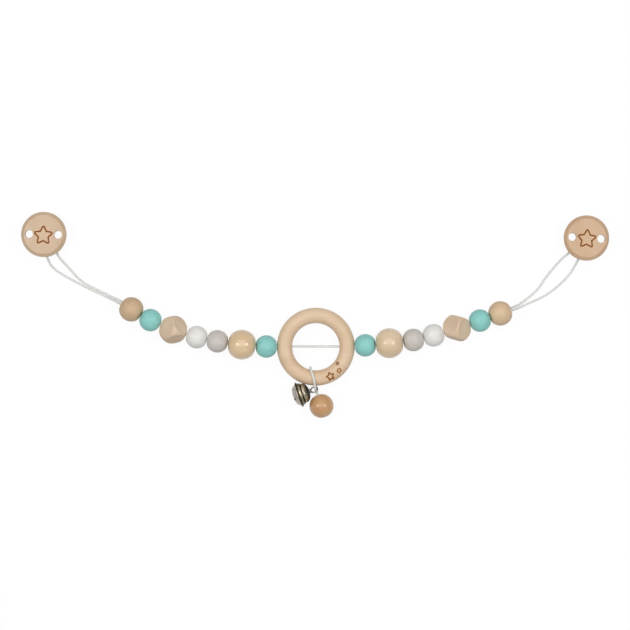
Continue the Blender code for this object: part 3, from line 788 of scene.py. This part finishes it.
def studio():
    """A white table and a white room, two soft boxes beside the camera and a wide one above."""
    made, nodes, links = new_material("table_white")
    base = nodes["Principled BSDF"]
    base.inputs["Base Color"].default_value = (0.45, 0.45, 0.45, 1)
    base.inputs["Roughness"].default_value = 0.9
    # Seen straight or in a reflection the table is white, with a trace of the toy's shadow.
    share = maths(nodes, links, "MULTIPLY", seen_rays(nodes, links), TABLE_GLOW)
    glow = put(nodes, "ShaderNodeEmission", Strength=1.1, Color=(1, 1, 1, 1))
    blend = put(nodes, "ShaderNodeMixShader")
    feed(links, blend.inputs, (share, base.outputs[0], glow.outputs[0]))
    links.new(blend.outputs[0], nodes["Material Output"].inputs["Surface"])
    shape = bmesh.new()
    bmesh.ops.create_grid(shape, x_segments=1, y_segments=1, size=6000)
    finish_shape("table", shape, shifted(0, 0, -0.2), made)
    world = bpy.data.worlds.new("room")
    bpy.context.scene.world = world
    world.use_nodes = True
    tree = world.node_tree
    room = tree.nodes["Background"]
    room.inputs["Color"].default_value = (1.0, 1.0, 1.0, 1.0)
    room.inputs["Strength"].default_value = ROOM_LIGHT
    wall = put(tree.nodes, "ShaderNodeBackground", Strength=1.0)
    both = put(tree.nodes, "ShaderNodeMixShader")
    seen = seen_rays(tree.nodes, tree.links)
    feed(tree.links, both.inputs, (seen, room.outputs[0], wall.outputs[0]))
    tree.links.new(both.outputs[0], tree.nodes["World Output"].inputs["Surface"])
    light("box_left", (-700, 40, 1000), (300, 300), 2.5)
    light("box_right", (700, 40, 1000), (300, 300), 2.5)
    light("above", (0, 300, 1500), (1800, 1200), 11.0)
    bpy.context.scene.view_settings.view_transform = "Standard"


# Cords


def mouth_of(side):
    """The end bead's outer mouth, from the ring's centre, and the bead's direction."""
    at = Vector(JOINTS[f"{side}_loop_swing"]["pos_m"]) / MM
    forward = Vector(JOINTS[f"{side}_bead_7_spin"]["axis"])
    return at + Vector((X_MID, Y_MID, 0)), forward


def loop_route(side, first, second):
    """The doubled elastic, from the end bead to the clip's bar and back."""
    mouth, forward = mouth_of(side)
    sign = 1 if side == "right" else -1
    across = Vector((-forward.y, forward.x, 0)).normalized() * sign
    out = Vector((forward.x, forward.y, 0)).normalized()
    lying = CORD_R + 0.2
    strands = []
    for way, strand in ((1, first), (-1, second)):
        start = mouth + across * way * STRAND_OFF + out * -0.45
        start.z = mouth.z
        points = [start, start + out * 3.0]
        points[1].z = mouth.z - 0.5
        points += [Vector((x, y, lying + z)) for x, y, z in strand]
        strands.append(points)
    a = radians(EXITS[side])
    u = Vector((cos(a), sin(a), 0))
    v = Vector((-sin(a), cos(a), 0)) * -sign
    hub = Vector((*CLIPS[side], 0))
    half = HALVES[side]

    def at(far, off, z):
        return hub + u * far + v * off + Vector((0, 0, z))

    over = [at(SLOT_AT, half, 7.6), at(BAR_AT, half, 8.1)]
    under = [at(SLOT_AT, -half, 4.0), at(BAR_AT, -half, 4.4)]
    turn = []
    for k, z in ((35, 7.95), (65, 7.3), (90, 6.25), (115, 5.2), (145, 4.55)):
        b = radians(k)
        turn.append(at(BAR_AT - half * sin(b), half * cos(b), z))
    return strands[0] + over + turn + under[::-1] + strands[1][::-1]


# Each strand's route from the end bead out to the clip, with how far it is lifted off the table.
LOOPS = {
    "left": (
        (
            (-161.8, 39.2, 4.4), (-168.7, 42.5, 1.4), (-175.5, 45.7, 0.0),
            (-182.2, 49.0, 0.0), (-186.4, 51.6, 0.0), (-190.8, 55.4, 0.0),
            (-196.0, 61.0, 0.0), (-200.7, 66.3, 1.2), (-204.6, 70.7, 4.0),
        ),
        (
            (-162.1, 37.3, 4.2), (-169.1, 40.6, 1.4), (-176.0, 43.8, 0.0),
            (-182.8, 47.0, 0.0), (-188.4, 49.9, 0.0), (-195.2, 53.4, 0.0),
            (-202.8, 57.7, 0.0), (-208.4, 61.5, 0.0), (-212.5, 65.8, 0.8),
        ),
    ),
    "right": (
        (
            (162.1, 33.5, 4.6), (167.7, 37.3, 1.6), (173.9, 42.3, 0.0),
            (178.9, 47.5, 0.0), (182.9, 53.5, 0.0), (188.1, 60.2, 0.0),
            (193.0, 66.1, 1.2), (197.6, 71.0, 4.0),
        ),
        (
            (162.0, 30.9, 4.3), (168.2, 33.7, 1.5), (175.5, 36.9, 0.0),
            (183.5, 40.9, 0.0), (191.5, 46.5, 0.0), (199.5, 53.8, 0.0),
            (205.3, 61.0, 0.8),
        ),
    ),
}


def pendant_route():
    """The pendant's elastic, from its knot through the bead, over the ring, under it and back."""
    a = radians(PEND_TURN)
    toward = Vector((cos(a), sin(a), 0))
    centre = Vector((*PEND_BEAD, PEND_R + 0.05))
    half = PEND_LEN / 2
    start = centre - toward * (half - PEND_RECESS + KNOT_GAP - 0.75)
    top = centre + toward * half
    lift = Vector((0, 0, 1.05))
    clear = 0.6
    over = RING_Z + RING_THICK / 2 + CORD_R + clear
    under = RING_Z - RING_THICK / 2 - CORD_R - clear
    return (
        start + lift,
        centre + lift,
        top + lift,
        Vector((-0.25, -34.2, 11.9)),
        Vector((-0.8, -30.5, 14.6)),
        Vector((-1.7, -25.4, over)),
        Vector((-3.4, -20.2, over - 1.5)),
        Vector((-4.3, -16.9, RING_Z + 1.5)),
        Vector((-4.3, -16.7, RING_Z - 1.5)),
        Vector((-3.6, -20.2, under + 1.5)),
        Vector((-2.0, -25.4, under)),
        Vector((-0.4, -30.6, under + 1.3)),
        Vector((0.6, -34.8, 6.0)),
        top - lift,
        centre - lift,
        start - lift,
    )


def cords():
    reach = RING_R + RING_WIDE / 2 - 0.2
    hole = RING_R - RING_WIDE / 2
    low = RING_Z - RING_SAG
    centre = (
        (-reach, BORE_Y, RING_Z),
        (-hole - 3, BORE_Y, RING_Z),
        (-hole * 0.5, BORE_Y, low + 0.1),
        (0, BORE_Y, low),
        (hole * 0.5, BORE_Y, low + 0.1),
        (hole + 3, BORE_Y, RING_Z),
        (reach, BORE_Y, RING_Z),
    )
    cord_piece("cord_centre", centre, "core")
    for side, (first, second) in LOOPS.items():
        cord_piece(f"{side}_loop", loop_route(side, first, second), f"{side}_loop")
    cord_piece("pendant_loop", pendant_route(), "pendant")


def inner_cords():
    """The lengths of elastic inside the beads, each as long as its CAD solid."""
    for side in ("left", "right"):
        for number in range(1, 8):
            node = f"{side}_cord_{number}"
            at = joint_frame(f"{side}_bead_{number}_spin")
            back = at.inverted()
            along = [(back @ corner.co).z / MM for corner in frame["nodes"][node].data.vertices]
            low, high = min(along), max(along)
            steps = 16
            line = [Vector((0, 0, low + (high - low) * k / steps)) for k in range(steps + 1)]
            body = f"{side}_link_{number}"
            finish_shape(f"look_{node}", tube_shape(line, CORD_R), at, BRAID, body, (node,))


def knot(name, matrix, body, node, length):
    """The elastic tied in an overhand knot, pulled tight."""
    line = []
    steps = 120
    for k in range(steps):
        t = 2 * pi * k / steps
        far = 1.25 + 0.55 * cos(3 * t)
        line.append(Vector((far * cos(2 * t), far * sin(2 * t), 0.36 * length * sin(3 * t) / 1.1)))
    shape = tube_shape(line, CORD_R * KNOT_THIN, 12, True)
    finish_shape(name, shape, matrix, BRAID, body, (node,))


def knots():
    half = BEADS["end"][1] / 2
    for side in ("left", "right"):
        up = half - RECESS_DEEP + KNOT_GAP + END_KNOT / 2
        spot = joint_frame(f"{side}_bead_7_spin") @ shifted(0, 0, up)
        knot(f"look_{side}_knot", spot, f"{side}_link_7", f"{side}_knot", END_KNOT)
    down = PEND_LEN / 2 - PEND_RECESS + KNOT_GAP + PEND_KNOT / 2
    spot = joint_frame("pendant_bead_spin") @ shifted(0, 0, -down)
    knot("look_pendant_knot", spot, "pendant", "pendant_knot", PEND_KNOT)


# Beads


def beads():
    looks = {"mint": MINT, "grey": GREY, "white": WHITE, "large": PALE, "end": ENDS}
    looks_of = {"left": {**looks, "large": LEFT_PALE, "end": LEFT_END}, "right": looks}
    for side in ("left", "right"):
        for number, kind in enumerate(KINDS, 1):
            name = f"look_{side}_bead_{number}_{kind}"
            if kind == "facet":
                facet_bead(name, side, number)
            else:
                bead(name, kind, side, number, looks_of[side][kind])
    recess = (RECESS_R, PEND_SEEN_RECESS)
    flat = PEND_BORE_R + 0.4
    length = PEND_LEN + PEND_LONGER
    profile = bead_profile(PEND_R, length, 40, PEND_BORE_R, flat, recess, PEND_BORE_R)
    flip = joint_frame("pendant_bead_spin") @ Matrix.Rotation(pi, 4, "X")
    shape = turned_shape(profile, 90, True)
    finish_shape("look_pendant_bead", shape, flip, WARM, "pendant_bead", ("pendant_bead",))


# Engraved stars


def star_edge(x, y, size, turn, soft):
    """How far each point is from a five-pointed star's outline, whose tips are rounded by soft."""
    corners = []
    for k in range(10):
        far = (size - soft) * (1.0 if k % 2 == 0 else 0.5)
        a = radians(turn + 36 * k)
        corners.append((far * cos(a), far * sin(a)))
    best = np.full(x.shape, 1e9)
    inside = np.zeros(x.shape, bool)
    for (ax, ay), (bx, by) in zip(corners, corners[1:] + corners[:1]):
        dx, dy = bx - ax, by - ay
        t = np.clip(((x - ax) * dx + (y - ay) * dy) / (dx * dx + dy * dy), 0, 1)
        best = np.minimum(best, np.hypot(x - ax - t * dx, y - ay - t * dy))
        crosses = (ay > y) != (by > y)
        with np.errstate(divide="ignore", invalid="ignore"):
            at = ax + (y - ay) * dx / dy if dy else np.full(x.shape, 1e9)
        inside ^= crosses & (x < at)
    return np.abs(np.where(inside, -best, best) - soft)


def groove(away, line):
    """How deep a burnt line is at a distance from its middle, from 1 to 0."""
    t = np.clip(1 - away / (line / 2), 0, 1)
    return t * t * (3 - 2 * t)


def burn_in(thing, burnt):
    """Keeps how strongly each corner is burnt, for the wood's colour."""
    burn = thing.data.attributes.new("burn", "FLOAT", "POINT")
    burn.data.foreach_set("value", burnt)


def disc(side):
    """The domed wooden disc of a clip, with its star and two vent holes."""
    rim = [(0, DISC_TOP), (1.0, DISC_TOP - 0.003)]
    far = 1.4
    while far < 9.2:
        rim.append((far, DISC_TOP - DISC_DOME * far**2))
        far += 0.2
    for far in (9.8, 10.6, 11.6, 12.6, 13.5, 14.3):
        rim.append((far, DISC_TOP - DISC_DOME * far**2 - 0.004 * max(0, far - 9) ** 2))
    # The edge is a bevel between two soft arcs, and the back's edge a quarter round.
    bevel = 48
    steps = 8
    for k in range(1, steps + 1):
        a = radians(bevel) * k / steps
        rim.append((14.9 + 1.2 * sin(a), DISC_TOP - 1.8 + 1.2 * cos(a)))
    for k in range(steps + 1):
        a = radians(bevel + (90 - bevel) * k / steps)
        rim.append((16.4 + 1.6 * sin(a), DISC_TOP - 4.07 + 1.6 * cos(a)))
    for k in range(steps + 1):
        a = pi / 2 * k / steps
        rim.append((16.4 + 1.6 * cos(a), DISC_BACK + 1.6 - 1.6 * sin(a)))
    rim += [(12.0, DISC_BACK), (6.0, DISC_BACK), (0, DISC_BACK)]
    shape = turned_shape(rim, 200, False)
    # Local X points at the cord's slot, so the star's top points along -X.
    base = Matrix.Translation(row(*CLIPS[side], 0)) @ Matrix.Rotation(radians(DOWNS[side]), 4, "Z")
    spots = np.array([v.co[:] for v in shape.verts])
    away = star_edge(spots[:, 0] - STAR_DROP, spots[:, 1], STAR_R, 180, 0.8)
    front = spots[:, 2] > 15
    for corner, d in zip(shape.verts, groove(away, STAR_LINE) * front):
        corner.co.z -= STAR_DEEP * d
    name = f"{side}_disc"
    made = finish_shape(f"look_{name}", shape, base, DISC_WOODS[side], f"{side}_clip", (name,))
    burn_in(made, groove(away, STAR_LINE * BURN_WIDE) * front)
    top = DISC_TOP - DISC_DOME * VENT_AT**2 - 0.02
    for way in (-1, 1):
        rod = flared_rod(VENT_R, DISC_BACK, top, 0.35)
        for corner in rod.verts:
            if corner.co.z > DISC_TOP - 4:
                corner.co.z -= VENT_SLOPE * corner.co.y * way
        cut(made, rod, base @ shifted(0, way * VENT_AT, 0))
    for way in (-1, 1):
        pilot = turned_shape(((0, 8), (1.1, 8), (1.1, 15), (0, 15)), 20, False)
        cut(made, pilot, base @ shifted(1.5, way * SCREW_AT, 0))
    keep_attribute(made)


def keep_attribute(thing):
    """Faces that a cut made aren't burnt."""
    if "burn" not in thing.data.attributes:
        thing.data.attributes.new("burn", "FLOAT", "POINT")
    crease(thing, 60)


def ring():
    """The teething ring, with a bore for the elastic and three small stars burnt into it."""
    # The mesh is fine only where the stars are.
    around = list(np.arange(-80, -28, 0.42)) + list(np.arange(-28, 280, 5.13))
    across = list(np.arange(38, 146, 2.0)) + list(np.arange(146, 398, 10.08))
    shape = bmesh.new()
    rows = []
    for a in map(radians, around):
        line = []
        for b in map(radians, across):
            far = RING_R + RING_WIDE / 2 * cos(b)
            line.append(shape.verts.new((far * cos(a), far * sin(a), RING_THICK / 2 * sin(b))))
        rows.append(line)
    for here, there in zip(rows, rows[1:] + rows[:1]):
        for k in range(len(here)):
            after = (k + 1) % len(here)
            shape.faces.new((here[k], there[k], there[after], here[after]))
    spots = np.array([v.co[:] for v in shape.verts])
    front = spots[:, 2] > 1
    deep = np.zeros(len(spots))
    burnt = np.zeros(len(spots))
    for x, y, size, turn, line in RING_STARS:
        away = star_edge(spots[:, 0] - x, spots[:, 1] - y, size - line / 2 + 0.2, turn, 0.3)
        deep = np.maximum(deep, groove(away, line) * front)
        burnt = np.maximum(burnt, groove(away, line * BURN_WIDE) * front)
    for corner, d in zip(shape.verts, deep):
        inward = Vector((corner.co.x, corner.co.y, 0)).normalized() * RING_R - corner.co
        corner.co += inward.normalized() * RING_STAR_DEEP * d
    matrix = Matrix.Translation(row(0, 0, RING_Z))
    made = finish_shape("look_ring", shape, matrix, RING_WOOD, "ring", ("ring",))
    burn_in(made, burnt)
    low = RING_R - RING_WIDE / 2
    for way in (1, -1):
        at = frame_of(row(0, BORE_Y, RING_Z), (way, 0, 0))
        cut(made, flared_rod(BORE_R, low + 0.05, low + RING_WIDE - 0.05, 0.3), at)
    keep_attribute(made)


# Bell


def bell_upper(at):
    """The upper shell, pressed in two tiers: a belt above the rim, then a full dome."""
    # Each point is how far from the bell's axis, and how high over the plane between the shells.
    outer = [(0, 8.9)]
    for step in range(1, 60):
        c = radians(90 - 112 * step / 60)
        outer.append((7.85 * cos(c), 4.2 + 4.7 * sin(c) * (1.0 if c > 0 else 0.6)))
    outer += [(7.95, 3.02), (8.2, 2.96), (8.45, 2.97)]
    for step in range(1, 20):
        far = 2.9 - 1.9 * step / 20
        outer.append((8.85 - (far - 1.8) ** 2 / 3.6, far))
    outer += [(BELL_R + 0.2, 0.85), (BELL_R + 0.45, 0.75)]
    outer += [(far, -z) for far, z in RIM]
    inside = BELL_R - BELL_WALL
    inner = [(inside, RIM_HALF)]
    for step in range(1, 24):
        c = radians(90 * step / 24)
        inner.append((inside * cos(c), RIM_HALF + inside * sin(c)))
    inner.append((0, RIM_HALF + BELL_R - BELL_WALL))
    shape = turned_shape(outer + inner, 96, False)
    crease(finish_shape("look_bell_upper", shape, at, BELL, "bell", ("bell_upper",)), 40)


def bowl(radius, deep, share):
    """A point of the lower shell's section, at a share of the way out from its middle."""
    return radius * share, -RIM_HALF - deep * sqrt(1 - share**2.4)


def slit():
    """A cutter for a slit with round ends, narrower between them."""
    shape = bmesh.new()
    outline = []
    for side in (1, -1):
        for step in range(13):
            a = radians(-90 + 180 * step / 12) + (0 if side > 0 else pi)
            outline.append((side * SLIT_END_AT + SLIT_END_R * cos(a), SLIT_END_R * sin(a)))
    outline = [(x, y * (SLIT_NARROW if abs(x) < SLIT_END_AT else 1.0)) for x, y in outline]
    under = [shape.verts.new((x, y, -8)) for x, y in outline]
    over = [shape.verts.new((x, y, -0.9)) for x, y in outline]
    shape.faces.new(under[::-1])
    shape.faces.new(over)
    for i in range(len(outline)):
        after = (i + 1) % len(outline)
        shape.faces.new((under[i], under[after], over[after], over[i]))
    return shape


def bell_lower(at):
    """The lower shell, a shallow bowl with two crossed slits."""
    full = 0.97
    profile = [(0, -RIM_HALF - LOWER_DEEP)]
    profile += [bowl(BELL_R, LOWER_DEEP, full * k / 25) for k in range(1, 26)]
    profile += [(BELL_R + 0.2, -0.75), *RIM, (BELL_R - LOWER_WALL, -RIM_HALF)]
    inside, deep = BELL_R - LOWER_WALL, LOWER_DEEP - LOWER_WALL
    profile += [bowl(inside, deep, full * (1 - k / 18)) for k in range(1, 18)]
    profile.append((0, -RIM_HALF - LOWER_DEEP + LOWER_WALL))
    shape = turned_shape(profile, 96, False)
    made = finish_shape("look_bell_lower", shape, at, BELL_UNDER, "bell", ("bell_lower",))
    for k in range(2):
        cut(made, slit(), at @ Matrix.Rotation(radians(SLIT_TURN + 90 * k), 4, "Z"))
    crease(made, 35)


def bell_eye(at):
    """The wire eye that the elastic goes through, and the foot that holds it on the bell."""
    b = radians(BELL_TURN)
    axis = Vector(JOINTS["pellet_roll"]["axis"])
    side = Vector((-sin(b), cos(b), 0))
    around = (side + axis.cross(side).normalized()).normalized()
    line = []
    steps = 64
    for k in range(steps):
        c = 2 * pi * k / steps
        line.append(Vector((EYE_R * cos(c), EYE_R * sin(c), 0)))
    eye_at = frame_of(at.translation + axis * EYE_OFF * MM, around, axis)
    wire = tube_shape(line, EYE_WIRE, 16, True)
    finish_shape("look_bell_eye", wire, eye_at, WIRE, "bell", ("bell_eye",))
    foot = [(0, 9.15), (1.7, 9.15), (2.1, 9.3), (2.0, 9.6), (1.1, 9.85), (0.75, 10.2), (0, 10.3)]
    shape = turned_shape(rounded(foot, 0.15), 40, False)
    finish_shape("look_bell_foot", shape, at, WIRE, "bell")


def bell():
    at = joint_frame("pellet_roll")
    bell_upper(at)
    bell_lower(at)
    bell_eye(at)
    ball = [(PELLET_R * sin(pi * k / 24), -PELLET_R * cos(pi * k / 24)) for k in range(25)]
    ball[0], ball[-1] = (0, -PELLET_R), (0, PELLET_R)
    shape = turned_shape(ball, 40, False)
    spot = at @ shifted(*PELLET_AT)
    finish_shape("look_pellet", shape, spot, STEEL, "pellet", ("bell_pellet",))


# The clips' steel and plastic keep their CAD solids.


def carried_over():
    """Gives the CAD nodes that stay their finishes, and softens their edges."""
    for name, node in frame["nodes"].items():
        if name.endswith(("_plate", "_lever", "_pin", "_screw_1", "_screw_2")):
            look = STEEL
        elif name.endswith("_insert"):
            look = INSERT
        else:
            continue
        node.data.materials.clear()
        node.data.materials.append(look)
        soften(node, 25)


camera()
cords()
inner_cords()
knots()
beads()
ring()
disc("left")
disc("right")
bell()
carried_over()
studio()
